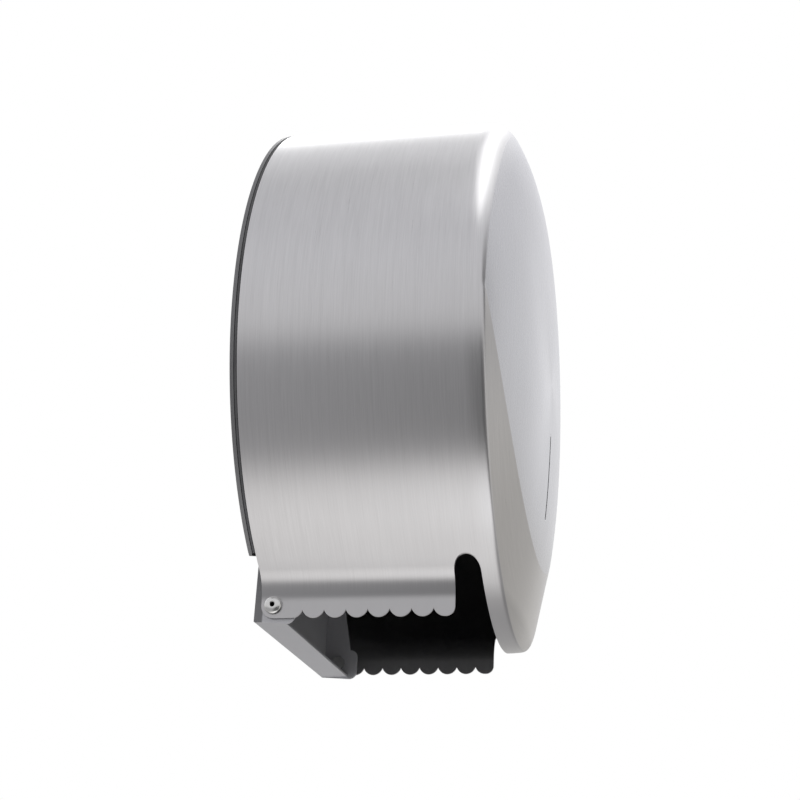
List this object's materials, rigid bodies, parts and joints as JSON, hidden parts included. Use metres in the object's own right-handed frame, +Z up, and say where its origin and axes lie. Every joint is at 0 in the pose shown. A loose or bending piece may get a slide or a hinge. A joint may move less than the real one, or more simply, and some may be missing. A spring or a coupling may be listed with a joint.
{
  "type": "jumbo toilet roll dispenser",
  "caption": "Round wall-mounted steel cover with open bottom mouth and scalloped tear edges, hinged over a back plate with a roll hub.",
  "frame": {"origin": "on the wall face of the back plate, on the axis of the drum", "axes": "+Y out of the back into the wall, +Z up, +X to the right as seen from the front; the front faces -Y"},
  "size_m": [0.27, 0.1285, 0.274],
  "materials": {
    "brushed_cover": "fine satin grain running round the drum",
    "brushed_front": "fine satin grain running up and down",
    "plate_steel": "dull satin",
    "zinc_steel": "bright zinc plate",
    "rivet_steel": "plain satin",
    "seal_rubber": "matt black",
    "black_plastic": "fine moulded texture",
    "white_nylon": "natural nylon",
    "lock_chrome": "polished",
    "smoked_lens": "dark smoked acrylic"
  },
  "bodies": {
    "wall_unit": {"back_plate": "plate_steel", "edge_seal": "seal_rubber", "axle_base": "plate_steel", "axle": "zinc_steel", "axle_washer": "zinc_steel", "axle_screw": "zinc_steel", "base_rivet_1": "zinc_steel", "base_rivet_2": "zinc_steel", "base_rivet_3": "zinc_steel", "hinge_rivet_left": "rivet_steel", "hinge_rivet_right": "rivet_steel", "keeper": "plate_steel", "keeper_rivet_1": "zinc_steel", "keeper_rivet_2": "zinc_steel"},
    "cover": {"cover_wall": "brushed_cover", "front_cap": "brushed_front", "sight_lens": "smoked_lens", "lens_holder": "black_plastic", "lock_barrel": "lock_chrome", "lock_nut": "zinc_steel"},
    "lock": {"lock_plug": "lock_chrome", "lock_cam": "zinc_steel", "cam_nut": "zinc_steel"},
    "hub": {"core_hub": "black_plastic", "hub_bush_rear": "white_nylon", "hub_bush_front": "white_nylon"}
  },
  "joints": [
    {"name": "cover_hinge", "type": "hinge", "parent": "wall_unit", "child": "cover", "pos_m": [0, -0.009, -0.1289], "axis": [1, 0, 0], "range_deg": [0, 90]},
    {"name": "lock_turn", "type": "hinge", "parent": "cover", "child": "lock", "pos_m": [0, -0.026, 0.135], "axis": [0, 0, -1], "range_deg": [0, 90]},
    {"name": "hub_spin", "type": "hinge", "parent": "wall_unit", "child": "hub", "pos_m": [0, 0, 0], "axis": [0, -1, 0], "continuous": true}
  ]
}
